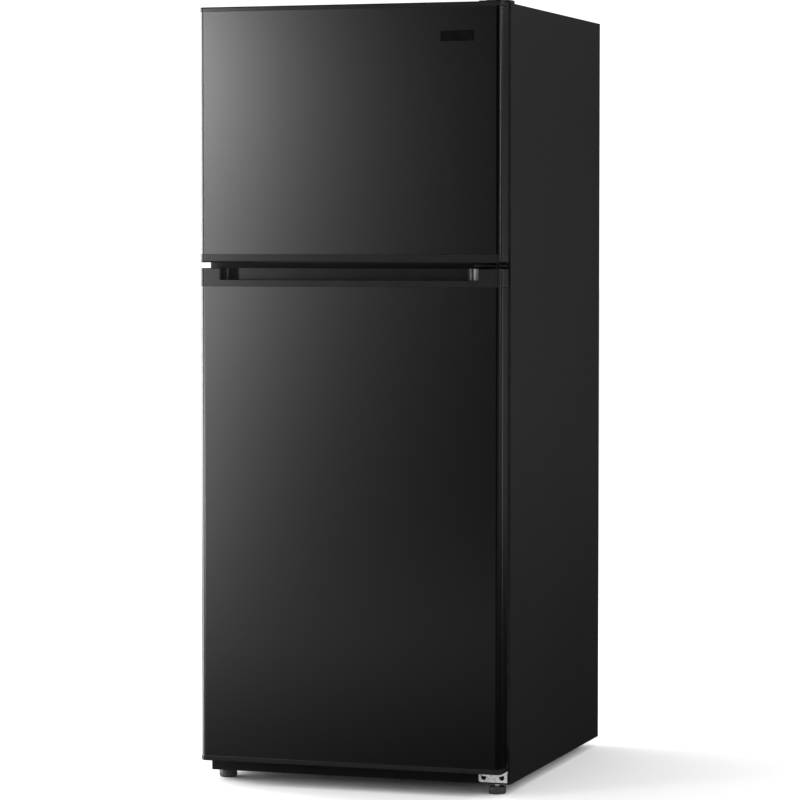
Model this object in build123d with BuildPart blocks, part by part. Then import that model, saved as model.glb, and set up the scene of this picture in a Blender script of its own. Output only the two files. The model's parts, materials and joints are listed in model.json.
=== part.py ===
from build123d import *
import os

# A free-standing top freezer refrigerator. +Z is up, the doors face -Y, and the hinges are on the
# +X side. The origin is on the floor, under the middle of the whole object. All sizes are in mm.

# ---- overall size -------------------------------------------------------------------------------
WIDTH = 610
DEPTH = 724
HALF = WIDTH / 2
DOOR_FRONT = -DEPTH / 2
CABINET_BACK = DEPTH / 2
DOOR_THICKNESS = 44
DOOR_BACK = DOOR_FRONT + DOOR_THICKNESS
CABINET_FRONT = DOOR_BACK + 18
CABINET_BOTTOM = 19
CABINET_TOP = 1504
COVER_HEIGHT = 6.2

# ---- sheet and wall thicknesses -----------------------------------------------------------------
SHEET = 1.0
BASE_SHEET = 1.5
LINER = 2.0
HINGE_PLATE = 3.0
INNER_HALF = HALF - SHEET
STEEL_BACK = CABINET_BACK - SHEET
BACK_HALF = 290

# ---- doors --------------------------------------------------------------------------------------
FREEZER_DOOR = (1014.0, 1504.5)
FRIDGE_DOOR = (46.0, 1003.0)
FREEZER_CAPS = (16.0, 9.0)
FRIDGE_CAPS = (10.0, 35.0)
CAP_RADIUS = 12.0
SKIN_INSET = 1.0
DIKE = (218.0, 238.0)
DIKE_BACK = -215.0
DIKE_RADIUS = 6.0
BIN_HALF = DIKE[0] - 2.0
BIN_FRONT = DOOR_BACK + 2.0
BIN_BACK = -206.5
BIN_WALL = 3.0
BIN_RADIUS = 16.0
GASKET = (262.0, 281.0)
GASKET_WIDTH = GASKET[1] - GASKET[0]
GASKET_BACK = CABINET_FRONT - 0.4
RECESS_DEPTH = 30.0
RECESS = (-261.0, 257.0)
RECESS_CHAMFER = 2.0
LIP_HEIGHT = 13.0

# ---- hinge axis, on the right-hand side ---------------------------------------------------------
AXIS_X = 291.0
AXIS_Y = -336.0
PIN_RADIUS = 4.0
BUSHING_BORE = 4.05
BUSHING_RADIUS = 7.0
BUSHING_LENGTH = 22.0
HINGE_TAB = (262.0, 300.0)
HINGE_FRONT = -348.0

# ---- rooms inside the cabinet -------------------------------------------------------------------
ROOM_HALF = 255.0
ROOM_BACK = 295.0
FRIDGE_ROOM = (95.0, 955.0)
FREEZER_ROOM = (1045.0, 1445.0)
HUMP_FRONT = 75.0
HUMP_TOP = 315.0
ROOM_RADIUS = 14.0
LIP_DEPTH = 2.0
STEEL_FLANGE = 44.0
FLANGE_INNER = HALF - STEEL_FLANGE
BAY_FRONT = 130.0
BAY_TOP = 260.0
BASE_PLATE_TOP = 59.0
CROSSMEMBER_TOP = 89.0

# ---- shelves and drawer -------------------------------------------------------------------------
SHELF_LEVELS = (505.0, 705.0)
CRISPER_COVER = 300.0
PANE = 4.0
SHELF_FRONT = -160.0
LEDGE_INNER = 243.0
LEDGE_HEIGHT = 6.0
FREEZER_SHELF = 1240.0

# ---- feet, rollers and machinery ----------------------------------------------------------------
RIGHT_FOOT = (277.0, -291.5)
LEFT_FOOT = (-286.0, -258.0)
STUD_RADIUS = 5.0
GRIP_RADIUS = 16.5
GRIP_TOP = 14.0
FOOT_TOP = 15.5
STUD_BORE = 5.06
ROLLER_X = 250.0
ROLLER_Y = 300.0
ROLLER_RADIUS = 15.0
AXLE_RADIUS = 3.0
TRAY = (34.0, 36.0)
COMPRESSOR = (130.0, 245.0)
COIL_X = (-270.0, -50.0)
COIL_PITCH = 26.0
COIL_PASSES = 6
COIL_TOP = 192.0
DRAIN_Y = 330.0
DRAIN_RADIUS = 7.0

os.makedirs("parts", exist_ok=True)


def block(x, y, z, mode=Mode.ADD):
    """A rectangular block between three pairs of limits."""
    with Locations(((x[0] + x[1]) / 2, (y[0] + y[1]) / 2, (z[0] + z[1]) / 2)):
        Box(x[1] - x[0], y[1] - y[0], z[1] - z[0], mode=mode)


def post(x, y, z, radius, mode=Mode.ADD):
    """An upright cylinder between two heights."""
    with Locations((x, y, (z[0] + z[1]) / 2)):
        Cylinder(radius, z[1] - z[0], mode=mode)


def bolt(x, y, z, radius, mode=Mode.ADD):
    """A cylinder along Y between two depths."""
    with Locations((x, (y[0] + y[1]) / 2, z)):
        Cylinder(radius, abs(y[1] - y[0]), rotation=(90, 0, 0), mode=mode)


def crosspin(x, y, z, radius, mode=Mode.ADD):
    """A cylinder along X between two places across the width."""
    with Locations(((x[0] + x[1]) / 2, y, z)):
        Cylinder(radius, x[1] - x[0], rotation=(0, 90, 0), mode=mode)


def tube(points, bend, radius):
    """A round tube along straight runs that are joined by bends."""
    with BuildLine() as route:
        FilletPolyline(*points, radius=bend)
    with BuildSketch(Plane(origin=route.line @ 0, z_dir=route.line % 0)) as section:
        Circle(radius)
    sweep(section.sketch, path=route.line)


# =================================================================================================
# Cabinet: steel outer panels
# =================================================================================================
def side_sheet(side):
    """One side sheet with its front flange, its rear flange and a notch over the crossmember."""
    tall = (CABINET_BOTTOM, CABINET_TOP)
    block(sorted((side * INNER_HALF, side * HALF)), (CABINET_FRONT, CABINET_BACK), tall)
    block(sorted((side * FLANGE_INNER, side * HALF)), (CABINET_FRONT, CABINET_FRONT + SHEET), tall)
    block(sorted((side * BACK_HALF, side * HALF)), (STEEL_BACK, CABINET_BACK), tall)
    upright = edges().filter_by(Axis.Z)
    bends = (
        (side * INNER_HALF, CABINET_FRONT + SHEET, 1.5),
        (side * INNER_HALF, STEEL_BACK, 1.5),
        (side * HALF, CABINET_FRONT, 2.5),
        (side * HALF, CABINET_BACK, 2.5),
    )
    for x, y, radius in bends:
        fillet(upright.sort_by_distance((x, y, CABINET_BOTTOM))[0], radius)
    inner = sorted((side * (FLANGE_INNER - 5), side * INNER_HALF))
    notch = (CABINET_FRONT - 1, CABINET_FRONT + 3)
    full_depth = (CABINET_FRONT - 1, CABINET_BACK + 1)
    block(inner, notch, (0, CROSSMEMBER_TOP), Mode.SUBTRACT)
    block(inner, full_depth, (CABINET_TOP - SHEET, CABINET_TOP + 1), Mode.SUBTRACT)


with BuildPart() as left_side_panel:
    side_sheet(-1)
left_side_panel.part.label = "left_side_panel"
export_step(left_side_panel.part, "parts/left_side_panel.step")

with BuildPart() as right_side_panel:
    side_sheet(1)
right_side_panel.part.label = "right_side_panel"
export_step(right_side_panel.part, "parts/right_side_panel.step")

# The top sheet lies between the side sheets, with a front flange above the freezer opening.
with BuildPart() as top_panel:
    block((-INNER_HALF, INNER_HALF), (CABINET_FRONT, CABINET_BACK), (CABINET_TOP - SHEET, CABINET_TOP))
    block(
        (-FLANGE_INNER, FLANGE_INNER),
        (CABINET_FRONT, CABINET_FRONT + SHEET),
        (FREEZER_ROOM[1] + 7, CABINET_TOP),
    )
top_panel.part.label = "top_panel"
export_step(top_panel.part, "parts/top_panel.step")

with BuildPart() as back_panel:
    block((-BACK_HALF, BACK_HALF), (STEEL_BACK, CABINET_BACK), (BAY_TOP, CABINET_TOP - SHEET))
    with BuildSketch(Plane.XZ.offset(-CABINET_BACK)):
        with Locations((0, (BAY_TOP + CABINET_TOP) / 2)):
            with GridLocations(0, 260, 1, 4):
                SlotOverall(420, 5)
    extrude(amount=SHEET / 2, mode=Mode.SUBTRACT)
back_panel.part.label = "back_panel"
export_step(back_panel.part, "parts/back_panel.step")

# The bottom sheet runs under the foam, up behind the lower room and over the machinery.
with BuildPart() as base_plate:
    across = (-INNER_HALF, INNER_HALF)
    underside = BASE_PLATE_TOP - SHEET
    block(across, (CABINET_FRONT + 2, BAY_FRONT), (underside, BASE_PLATE_TOP))
    block(across, (BAY_FRONT - SHEET, BAY_FRONT), (underside, BAY_TOP))
    block(across, (BAY_FRONT - SHEET, STEEL_BACK - 2), (BAY_TOP - SHEET, BAY_TOP))
    post(0, DRAIN_Y, (BAY_TOP - 5, BAY_TOP + 5), DRAIN_RADIUS, Mode.SUBTRACT)
base_plate.part.label = "base_plate"
export_step(base_plate.part, "parts/base_plate.step")

# The black front rail of the base, with a bottom flange and two threaded bosses for the feet.
with BuildPart() as base_crossmember:
    block(
        (-INNER_HALF, INNER_HALF),
        (CABINET_FRONT, CABINET_FRONT + BASE_SHEET),
        (CABINET_BOTTOM, CROSSMEMBER_TOP),
    )
    block(
        (-INNER_HALF, INNER_HALF),
        (CABINET_FRONT, -238),
        (CABINET_BOTTOM, CABINET_BOTTOM + BASE_SHEET),
    )
    for foot in (LEFT_FOOT, RIGHT_FOOT):
        post(*foot, (CABINET_BOTTOM, 36), 7.0)
        post(*foot, (0, 60), STUD_BORE, Mode.SUBTRACT)
base_crossmember.part.label = "base_crossmember"
export_step(base_crossmember.part, "parts/base_crossmember.step")

with BuildPart() as mullion_rail:
    block((-FLANGE_INNER, FLANGE_INNER), (CABINET_FRONT, CABINET_FRONT + SHEET), (961, 1039))
mullion_rail.part.label = "mullion_rail"
export_step(mullion_rail.part, "parts/mullion_rail.step")


# =================================================================================================
# Cabinet: rooms, liners and foam
# =================================================================================================
def hollow(outline, half, radius):
    """A room with rounded inner edges, from its outline seen from the side."""
    with BuildSketch(Plane.YZ.offset(-half)) as side_view:
        Polygon(*outline, align=None)
    extrude(side_view.sketch, amount=2 * half)
    mouth = faces().sort_by(Axis.Y)[0]
    fillet(edges() - mouth.edges(), radius)


def fridge_outline(front, grow):
    """The lower room from the side, with a step over the machinery."""
    low, high = FRIDGE_ROOM[0] - grow, FRIDGE_ROOM[1] + grow
    step, back = HUMP_FRONT + grow, ROOM_BACK + grow
    floor = (front, low), (step, low), (step, HUMP_TOP - grow), (back, HUMP_TOP - grow)
    return *floor, (back, high), (front, high)


def freezer_outline(front, grow):
    """The upper room from the side."""
    low, high, back = FREEZER_ROOM[0] - grow, FREEZER_ROOM[1] + grow, ROOM_BACK + grow
    return (front, low), (back, low), (back, high), (front, high)


LINER_FRONT = CABINET_FRONT + SHEET

with BuildPart() as fridge_room:
    hollow(fridge_outline(CABINET_FRONT - 5, 0), ROOM_HALF, ROOM_RADIUS)
with BuildPart() as fridge_room_outside:
    hollow(fridge_outline(LINER_FRONT, LINER), ROOM_HALF + LINER, ROOM_RADIUS + LINER)
with BuildPart() as freezer_room:
    hollow(freezer_outline(CABINET_FRONT - 5, 0), ROOM_HALF, ROOM_RADIUS)
with BuildPart() as freezer_room_outside:
    hollow(freezer_outline(LINER_FRONT, LINER), ROOM_HALF + LINER, ROOM_RADIUS + LINER)

DRAIN_ROUTE = ((0, 282, 1043), (0, 282, 1012), (0, DRAIN_Y, 975), (0, DRAIN_Y, 242))

with BuildPart() as drain_core:
    tube(DRAIN_ROUTE, 18, DRAIN_RADIUS)

# Each liner is a moulded tray with a lip behind the steel flange and ledges for the shelves.
with BuildPart() as fridge_liner:
    add(fridge_room_outside.part)
    block((-285, 285), (LINER_FRONT, LINER_FRONT + LIP_DEPTH), (CROSSMEMBER_TOP, 990))
    add(fridge_room.part, mode=Mode.SUBTRACT)
    for level in (*SHELF_LEVELS, CRISPER_COVER):
        depth = (HUMP_FRONT if level == CRISPER_COVER else ROOM_BACK) - 16
        for side in (-1, 1):
            ledge = sorted((side * LEDGE_INNER, side * (ROOM_HALF + 0.5)))
            block(ledge, (SHELF_FRONT, depth), (level - LEDGE_HEIGHT, level))
fridge_liner.part.label = "fridge_liner"
export_step(fridge_liner.part, "parts/fridge_liner.step")

with BuildPart() as freezer_liner:
    add(freezer_room_outside.part)
    block((-285, 285), (LINER_FRONT, LINER_FRONT + LIP_DEPTH), (1010, 1480))
    add(freezer_room.part, mode=Mode.SUBTRACT)
    for side in (-1, 1):
        ledge = sorted((side * LEDGE_INNER, side * (ROOM_HALF + 0.5)))
        block(ledge, (SHELF_FRONT, 230), (FREEZER_SHELF - LEDGE_HEIGHT, FREEZER_SHELF))
    post(0, 282, (1040, 1050), 5, Mode.SUBTRACT)
freezer_liner.part.label = "freezer_liner"
export_step(freezer_liner.part, "parts/freezer_liner.step")

with BuildPart() as cabinet_foam:
    block(
        (-INNER_HALF, INNER_HALF),
        (LINER_FRONT + LIP_DEPTH, STEEL_BACK),
        (BASE_PLATE_TOP, CABINET_TOP - SHEET),
    )
    fillet(edges().filter_by(Axis.Z).group_by(Axis.Y)[-1], 2)
    block((-HALF, HALF), (BAY_FRONT - SHEET, CABINET_BACK), (0, BAY_TOP), Mode.SUBTRACT)
    add(fridge_room_outside.part, mode=Mode.SUBTRACT)
    add(freezer_room_outside.part, mode=Mode.SUBTRACT)
    add(drain_core.part, mode=Mode.SUBTRACT)
cabinet_foam.part.label = "cabinet_foam"
export_step(cabinet_foam.part, "parts/cabinet_foam.step")

with BuildPart() as drain_tube:
    add(drain_core.part)
    with BuildLine() as drain_line:
        FilletPolyline(*DRAIN_ROUTE, radius=18)
    with BuildSketch(Plane(origin=drain_line.line @ 0, z_dir=drain_line.line % 0)):
        Circle(5)
    sweep(path=drain_line.line, mode=Mode.SUBTRACT)
drain_tube.part.label = "drain_tube"
export_step(drain_tube.part, "parts/drain_tube.step")


# =================================================================================================
# Machinery behind the lower room
# =================================================================================================
MOUNT_SPOTS = [(COMPRESSOR[0] + dx, COMPRESSOR[1] + dy) for dx in (-82, 82) for dy in (-58, 58)]
ROLLER_CHEEKS = [(side * ROLLER_X + offset) for side in (-1, 1) for offset in (-10, 10)]

# A cross tray between the side sheets, with turned-up edges and two cheeks for each roller.
with BuildPart() as compressor_tray:
    block((-303.5, 303.5), (150, 350), TRAY)
    for edge in (150, 348):
        block((-303.5, 303.5), (edge, edge + 2), (TRAY[0], TRAY[1] + 12))
    for x in ROLLER_CHEEKS:
        block((x - 1, x + 1), (ROLLER_Y - 12, ROLLER_Y + 12), (9, TRAY[0]))
        crosspin((x - 2, x + 2), ROLLER_Y, ROLLER_RADIUS, AXLE_RADIUS, Mode.SUBTRACT)
    for spot in MOUNT_SPOTS:
        post(*spot, (30, 40), 4, Mode.SUBTRACT)
compressor_tray.part.label = "compressor_tray"
export_step(compressor_tray.part, "parts/compressor_tray.step")

with BuildPart() as roller_axles:
    for side in (-1, 1):
        middle = side * ROLLER_X
        crosspin((middle - 14, middle + 14), ROLLER_Y, ROLLER_RADIUS, AXLE_RADIUS)
        for end in (-13, 13):
            crosspin((middle + end - 1, middle + end + 1), ROLLER_Y, ROLLER_RADIUS, AXLE_RADIUS + 2)
roller_axles.part.label = "roller_axles"
export_step(roller_axles.part, "parts/roller_axles.step")


def roller(middle):
    """A nylon roller with a crowned rim and a bored hub."""
    crosspin((middle - 7, middle + 7), ROLLER_Y, ROLLER_RADIUS, ROLLER_RADIUS)
    chamfer(edges().filter_by(GeomType.CIRCLE), 1.5)
    for face in (middle - 7, middle + 5):
        crosspin((face, face + 2), ROLLER_Y, ROLLER_RADIUS, 11, Mode.SUBTRACT)
        crosspin((face, face + 2), ROLLER_Y, ROLLER_RADIUS, 6)
    crosspin((middle - 8, middle + 8), ROLLER_Y, ROLLER_RADIUS, AXLE_RADIUS + 0.06, Mode.SUBTRACT)


with BuildPart() as left_roller:
    roller(-ROLLER_X)
left_roller.part.label = "left_roller"
export_step(left_roller.part, "parts/left_roller.step")

with BuildPart() as right_roller:
    roller(ROLLER_X)
right_roller.part.label = "right_roller"
export_step(right_roller.part, "parts/right_roller.step")

# The compressor: two oval drawn cups, welded at a flange, on a pressed foot plate.
with BuildPart() as compressor:
    with BuildSketch(Plane.XY.offset(52)):
        with Locations(COMPRESSOR):
            Ellipse(92, 70)
    extrude(amount=138)
    fillet(faces().sort_by(Axis.Z)[-1].edges(), 34)
    fillet(faces().sort_by(Axis.Z)[0].edges(), 14)
    with BuildSketch(Plane.XY.offset(116)):
        with Locations(COMPRESSOR):
            Ellipse(95, 73)
    extrude(amount=5)
    with BuildSketch(Plane.XY.offset(49)):
        with Locations(COMPRESSOR):
            RectangleRounded(190, 142, 16)
        with Locations(*MOUNT_SPOTS):
            Circle(5, mode=Mode.SUBTRACT)
    extrude(amount=4)
compressor.part.label = "compressor"
export_step(compressor.part, "parts/compressor.step")

# Four rubber mounts, each with a waist that the foot plate sits in.
with BuildPart() as compressor_mounts:
    for spot in MOUNT_SPOTS:
        post(*spot, (TRAY[1], 49), 9)
        post(*spot, (49, 53), 5)
        post(*spot, (53, 57), 8)
compressor_mounts.part.label = "compressor_mounts"
export_step(compressor_mounts.part, "parts/compressor_mounts.step")

COIL_LEVELS = [COIL_TOP - COIL_PITCH * row for row in range(COIL_PASSES)]


def coil_points():
    """The corners of the condenser's tube, from the top pass to the bottom one."""
    points = []
    for row, level in enumerate(COIL_LEVELS):
        start, end = (COIL_X[1], COIL_X[0]) if row % 2 == 0 else (COIL_X[0], COIL_X[1])
        points += [(start, COMPRESSOR[1], level), (end, COMPRESSOR[1], level)]
    return points


# The condenser: one tube that goes back and forth through a stack of thin fins.
with BuildPart() as condenser_coil:
    tube(coil_points(), COIL_PITCH / 2 - 0.2, 3)
    for fin in range(14):
        x = COIL_X[0] + 25 + fin * 13
        block((x, x + 0.6), (222, 268), (50, 204))
    for x in (COIL_X[0] + 15, COIL_X[1] - 17):
        block((x, x + 2), (218, 272), (TRAY[1], 208))
condenser_coil.part.label = "condenser_coil"
export_step(condenser_coil.part, "parts/condenser_coil.step")

# Discharge, suction and liquid lines, the last one with its filter drier.
with BuildPart() as refrigerant_tubes:
    depth = COMPRESSOR[1]
    ceiling = BAY_TOP - SHEET
    start = COIL_X[1] + 0.1
    low = COIL_LEVELS[-1]
    discharge = (start, depth, COIL_TOP), (-10, depth, COIL_TOP), (-10, depth, 222)
    tube((*discharge, (90, depth, 222), (90, depth, 186)), 9, 3)
    tube(((180, depth, 182), (180, depth, 214), (250, depth, 214), (250, depth, ceiling)), 12, 4)
    tube(((start, depth, low), (-22, depth, low), (-22, 180, low), (-22, 180, ceiling)), 12, 3)
    post(-22, 180, (110, 200), 10)
    add(compressor.part, mode=Mode.SUBTRACT)
refrigerant_tubes.part.label = "refrigerant_tubes"
export_step(refrigerant_tubes.part, "parts/refrigerant_tubes.step")

# The melt-water pan stands on the warm compressor, under the end of the drain tube.
with BuildPart() as drip_pan:
    block((-50, 220), (195, 345), (234, 252))
    fillet(edges().filter_by(Axis.Z), 14)
    offset(amount=-2, openings=faces().sort_by(Axis.Z)[-1])
    for dx in (-45, 45):
        post(COMPRESSOR[0] + dx, COMPRESSOR[1] + 30, (175, 235), 5)
    add(compressor.part, mode=Mode.SUBTRACT)
drip_pan.part.label = "drip_pan"
export_step(drip_pan.part, "parts/drip_pan.step")

GLAND = (-235.0, 225.0)
COVER_Y = (357.0, 359.0)

# The louvred rear cover of the machinery.
with BuildPart() as machine_cover:
    block((-289, 289), COVER_Y, (TRAY[1], BAY_TOP - 2))
    with BuildSketch(Plane.XZ.offset(-COVER_Y[1] - 1)):
        with Locations((30, 135)):
            with GridLocations(110, 16, 4, 9):
                SlotOverall(90, 6)
    extrude(amount=4, mode=Mode.SUBTRACT)
    bolt(GLAND[0], (350, 362), GLAND[1], 9, Mode.SUBTRACT)
machine_cover.part.label = "machine_cover"
export_step(machine_cover.part, "parts/machine_cover.step")

# The grommet that the supply cord would come through.
with BuildPart() as cord_gland:
    bolt(GLAND[0], (353, 357), GLAND[1], 11)
    bolt(GLAND[0], (357, 359), GLAND[1], 9)
    bolt(GLAND[0], (359, CABINET_BACK), GLAND[1], 12)
    bolt(GLAND[0], (350, CABINET_BACK + 1), GLAND[1], 4.5, Mode.SUBTRACT)
cord_gland.part.label = "cord_gland"
export_step(cord_gland.part, "parts/cord_gland.step")


# =================================================================================================
# Freezer room
# =================================================================================================
EVAPORATOR_Y = (254.0, 284.0)
DUCT_COVER = (238.0, 241.0)
FAN_Z = 1345.0

with BuildPart() as evaporator:
    for level in (1090, 1130, 1170, 1210):
        crosspin((-206, 206), 269, level, 4)
    for fin in range(25):
        x = -192 + fin * 16
        block((x - 0.4, x + 0.4), EVAPORATOR_Y, (1076, 1224))
    for x in (-202, 202):
        block((x - 1, x + 1), (250, 288), (1066, 1230))
evaporator.part.label = "evaporator"
export_step(evaporator.part, "parts/evaporator.step")

# The rear wall of the freezer room, with return slots below and blowing slots above.
with BuildPart() as evaporator_cover:
    block((-254, 254), DUCT_COVER, (1046.5, 1443.5))
    fillet(edges().filter_by(Axis.Y), ROOM_RADIUS)
    with BuildSketch(Plane.XZ.offset(-DUCT_COVER[1] - 1)):
        for height in (1066, 1082, 1400, 1416):
            with Locations((0, height)):
                with GridLocations(76, 0, 6, 1):
                    SlotOverall(60, 6)
        with Locations((0, FAN_Z)):
            with GridLocations(0, 14, 1, 5):
                SlotOverall(80, 6)
    extrude(amount=5, mode=Mode.SUBTRACT)
evaporator_cover.part.label = "evaporator_cover"
export_step(evaporator_cover.part, "parts/evaporator_cover.step")

with BuildPart() as evaporator_fan_motor:
    bolt(0, (271, 292), FAN_Z, 20)
    bolt(0, (250, 272), FAN_Z, 2.5)
    block((-70, 70), (290, 294), (FAN_Z - 8, FAN_Z + 8))
evaporator_fan_motor.part.label = "evaporator_fan_motor"
export_step(evaporator_fan_motor.part, "parts/evaporator_fan_motor.step")

with BuildPart(Plane(origin=(0, 258, FAN_Z), x_dir=(1, 0, 0), z_dir=(0, -1, 0))) as evaporator_fan:
    Cylinder(11, 14)
    with PolarLocations(27, 5):
        Box(36, 20, 1.6, rotation=(32, 0, 0))
    Cylinder(2.56, 20, mode=Mode.SUBTRACT)
evaporator_fan.part.label = "evaporator_fan"
export_step(evaporator_fan.part, "parts/evaporator_fan.step")

# A wire shelf on the ledges of the freezer liner.
with BuildPart() as freezer_shelf:
    for y in (-150, 40, 222):
        crosspin((-251, 251), y, FREEZER_SHELF + 3, 3)
    for wire in range(25):
        bolt(-246 + wire * 20.5, (-151, 224), FREEZER_SHELF + 6, 1.6)
freezer_shelf.part.label = "freezer_shelf"
export_step(freezer_shelf.part, "parts/freezer_shelf.step")


# =================================================================================================
# Fridge room
# =================================================================================================
KNOB = (60.0, 941.0)
HOUSING_FRONT = -150.0

# The control housing hangs from the ceiling; its top is open.
with BuildPart() as control_housing:
    block((-110, 110), (HOUSING_FRONT, -30), (926, FRIDGE_ROOM[1]))
    fillet(edges().filter_by(Axis.Z), 8)
    offset(amount=-2.5, openings=faces().sort_by(Axis.Z)[-1])
    bolt(KNOB[0], (HOUSING_FRONT - 5, HOUSING_FRONT + 5), KNOB[1], 3.06, Mode.SUBTRACT)
control_housing.part.label = "control_housing"
export_step(control_housing.part, "parts/control_housing.step")

# The temperature knob, with a finger bar and a shaft through the housing's front.
with BuildPart() as thermostat_knob:
    bolt(KNOB[0], (-158, -151), KNOB[1], 13)
    block((KNOB[0] - 2.5, KNOB[0] + 2.5), (-165, -158), (KNOB[1] - 12, KNOB[1] + 12))
    bolt(KNOB[0], (-151, -140), KNOB[1], 3)
    bolt(KNOB[0], (-147, -143), KNOB[1], 5)
thermostat_knob.part.label = "thermostat_knob"
export_step(thermostat_knob.part, "parts/thermostat_knob.step")

with BuildPart() as lamp_cover:
    block((-42, 42), (-26, 52), (920, FRIDGE_ROOM[1]))
    fillet(edges().filter_by(Axis.Z), 12)
    offset(amount=-2, openings=faces().sort_by(Axis.Z)[-1])
lamp_cover.part.label = "lamp_cover"
export_step(lamp_cover.part, "parts/lamp_cover.step")

with BuildPart() as lamp:
    block((-14, 14), (12, 34), (938, FRIDGE_ROOM[1]))
    bolt(0, (4, 12), 945, 7)
    with Locations((0, -4, 940)):
        Sphere(11)
lamp.part.label = "lamp"
export_step(lamp.part, "parts/lamp.step")

SWITCH_X = 105.0
SWITCH_Z = 945.0

with BuildPart() as door_switch:
    block((SWITCH_X - 14, SWITCH_X + 14), (-290, -256), (935, FRIDGE_ROOM[1]))
    bolt(SWITCH_X, (-292, -262), SWITCH_Z, 4.1, Mode.SUBTRACT)
door_switch.part.label = "door_switch"
export_step(door_switch.part, "parts/door_switch.step")

with BuildPart() as switch_plunger:
    bolt(SWITCH_X, (DOOR_BACK + 0.4, -264), SWITCH_Z, 4)
    fillet(faces().sort_by(Axis.Y)[0].edges(), 1.5)
switch_plunger.part.label = "switch_plunger"
export_step(switch_plunger.part, "parts/switch_plunger.step")

# Two glass shelves and the glass cover of the crisper.
with BuildPart() as glass_shelves:
    for level in SHELF_LEVELS:
        block((-251, 251), (SHELF_FRONT, ROOM_BACK - 14), (level, level + PANE))
    block((-251, 251), (SHELF_FRONT, HUMP_FRONT - 8), (CRISPER_COVER, CRISPER_COVER + PANE))
glass_shelves.part.label = "glass_shelves"
export_step(glass_shelves.part, "parts/glass_shelves.step")

# Front edge trims of the three panes, and an upstand behind each of the two shelves.
with BuildPart() as shelf_trims:
    for level in (*SHELF_LEVELS, CRISPER_COVER):
        block((-251, 251), (SHELF_FRONT - 14, SHELF_FRONT), (level - 6, level + 8))
        block((-251, 251), (SHELF_FRONT, SHELF_FRONT + 12), (level + PANE, level + 8))
    for level in SHELF_LEVELS:
        block((-251, 251), (ROOM_BACK - 14, ROOM_BACK - 8), (level + 1, level + 18))
shelf_trims.part.label = "shelf_trims"
export_step(shelf_trims.part, "parts/shelf_trims.step")

# The crisper drawer, an open tray with a grip along the top of its front.
DRAWER = ((-238, 238), (-146, 62), (FRIDGE_ROOM[0] + 1, 286))

with BuildPart() as crisper_drawer:
    block(*DRAWER)
    fillet(edges().filter_by(Axis.Z), 10)
    fillet(faces().sort_by(Axis.Z)[0].edges(), 6)
    offset(amount=-2.5, openings=faces().sort_by(Axis.Z)[-1])
    block((-200, 200), (-162, -146), (278, 281))
    block((-200, 200), (-162, -159), (266, 281))
crisper_drawer.part.label = "crisper_drawer"
export_step(crisper_drawer.part, "parts/crisper_drawer.step")


# =================================================================================================
# Doors
# =================================================================================================
def door_plan(half, front, back, radius, mode=Mode.ADD):
    """The plan of a door: a rectangle whose two front corners are rounded."""
    with BuildLine() as outline:
        FilletPolyline((half, back), (half, front), (-half, front), (-half, back), radius=radius)
        Line((-half, back), (half, back))
    make_face(outline.edges(), mode=mode)


def door_cap(z, outer_end, rim, seam=0.8):
    """An end cap of a door: rounded outer rim, slightly rounded seam, bored for the bushing."""
    with BuildSketch(Plane.XY.offset(z[0])) as plan:
        door_plan(HALF, DOOR_FRONT, DOOR_BACK, CAP_RADIUS)
    extrude(plan.sketch, amount=z[1] - z[0])
    for end, radius in ((outer_end, rim), (-1 - outer_end, seam)):
        face = faces().filter_by(Axis.Z).sort_by(Axis.Z)[end]
        fillet(face.edges() - face.edges().filter_by(Axis.X).sort_by(Axis.Y)[-1:], radius)
    post(AXIS_X, AXIS_Y, (z[0] - 1, z[1] + 1), BUSHING_RADIUS, Mode.SUBTRACT)


SKIN_HALF = HALF - SKIN_INSET
SKIN_FRONT = DOOR_FRONT + SKIN_INSET
SKIN_RADIUS = CAP_RADIUS - SKIN_INSET
CORE_HALF = SKIN_HALF - SHEET
CORE_FRONT = SKIN_FRONT + SHEET
CORE_BACK = DOOR_BACK - LINER


def door_skin(z):
    """The painted sheet that wraps a door's front and its two upright edges."""
    with BuildSketch(Plane.XY.offset(z[0])) as plan:
        door_plan(SKIN_HALF, SKIN_FRONT, DOOR_BACK, SKIN_RADIUS)
        door_plan(CORE_HALF, CORE_FRONT, DOOR_BACK + 1, SKIN_RADIUS - SHEET, Mode.SUBTRACT)
    extrude(plan.sketch, amount=z[1] - z[0])


def dike_core(dike):
    """The foam inside the two upright ribs of a door liner."""
    for side in (-1, 1):
        across = sorted((side * (DIKE[0] + LINER), side * (DIKE[1] - LINER)))
        block(across, (CORE_BACK, DIKE_BACK - LINER), (dike[0] + LINER, dike[1] - LINER))


def door_core(z, dike):
    """The foam of a door, which fills the ribs and leaves room for the bushings."""
    with BuildSketch(Plane.XY.offset(z[0])) as plan:
        door_plan(CORE_HALF, CORE_FRONT, CORE_BACK, SKIN_RADIUS - SHEET)
    extrude(plan.sketch, amount=z[1] - z[0])
    dike_core(dike)


def door_inner(z, dike, bins):
    """The moulded inner panel of a door: two ribs, with lugs that the bins hang on."""
    block((-CORE_HALF, CORE_HALF), (CORE_BACK, DOOR_BACK), z)
    for side in (-1, 1):
        block(sorted((side * DIKE[0], side * DIKE[1])), (CORE_BACK, DIKE_BACK), dike)
    fillet(faces().filter_by(Axis.Y).group_by(Axis.Y)[-1].edges(), DIKE_RADIUS)
    for side in (-1, 1):
        across = sorted((side * (DIKE[0] + LINER), side * (DIKE[1] - LINER)))
        block(across, (CORE_BACK - 1, DIKE_BACK - LINER), (dike[0] + LINER, dike[1] - LINER), Mode.SUBTRACT)
        for low, high in bins:
            lug = sorted((side * (BIN_HALF - BIN_WALL + 0.5), side * (DIKE[0] + 1)))
            block(lug, (-285, -265), (high - 34, high - 14))


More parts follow.
